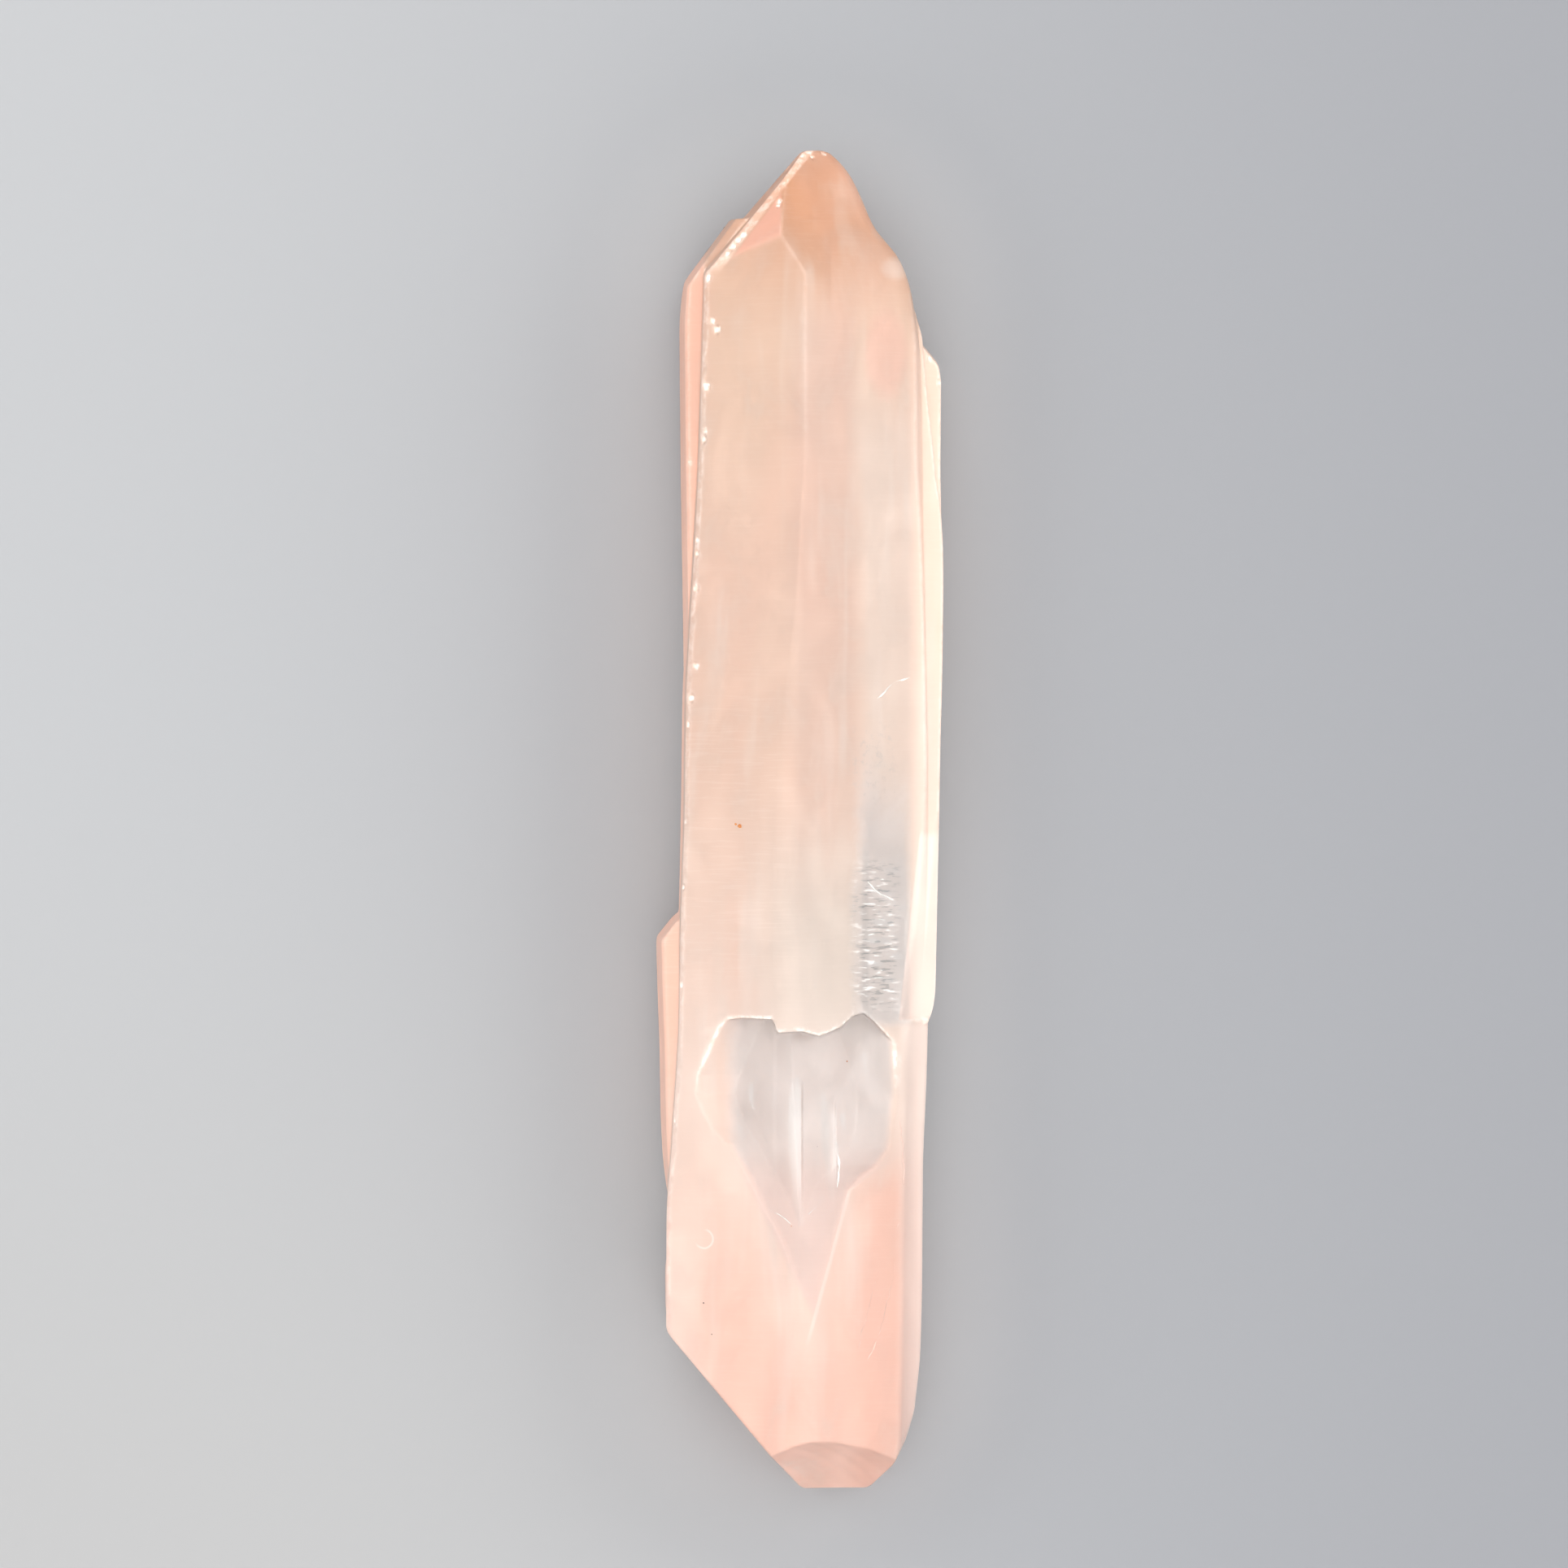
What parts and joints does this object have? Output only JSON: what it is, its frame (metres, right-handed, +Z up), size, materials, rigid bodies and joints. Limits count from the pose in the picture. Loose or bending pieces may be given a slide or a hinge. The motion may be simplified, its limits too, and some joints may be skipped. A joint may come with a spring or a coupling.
{
  "type": "twin quartz crystal",
  "caption": "Long six-sided point of hazy peach-pink quartz with narrow parallel crystals grown along both sides, a flake scar on the lower front and a broken base, lying on its flat back.",
  "frame": {"origin": "centre of the bounding box at the flat growth face the crystal lies on", "axes": "+Y along the crystal towards its point, +Z up from the flat face through the front ridge, +X to the right seen from above with the point away from the viewer"},
  "size_m": [0.0173, 0.0803, 0.0132],
  "materials": {
    "quartz": "satin"
  },
  "bodies": {
    "root": {"crystal": "quartz"}
  },
  "joints": []
}
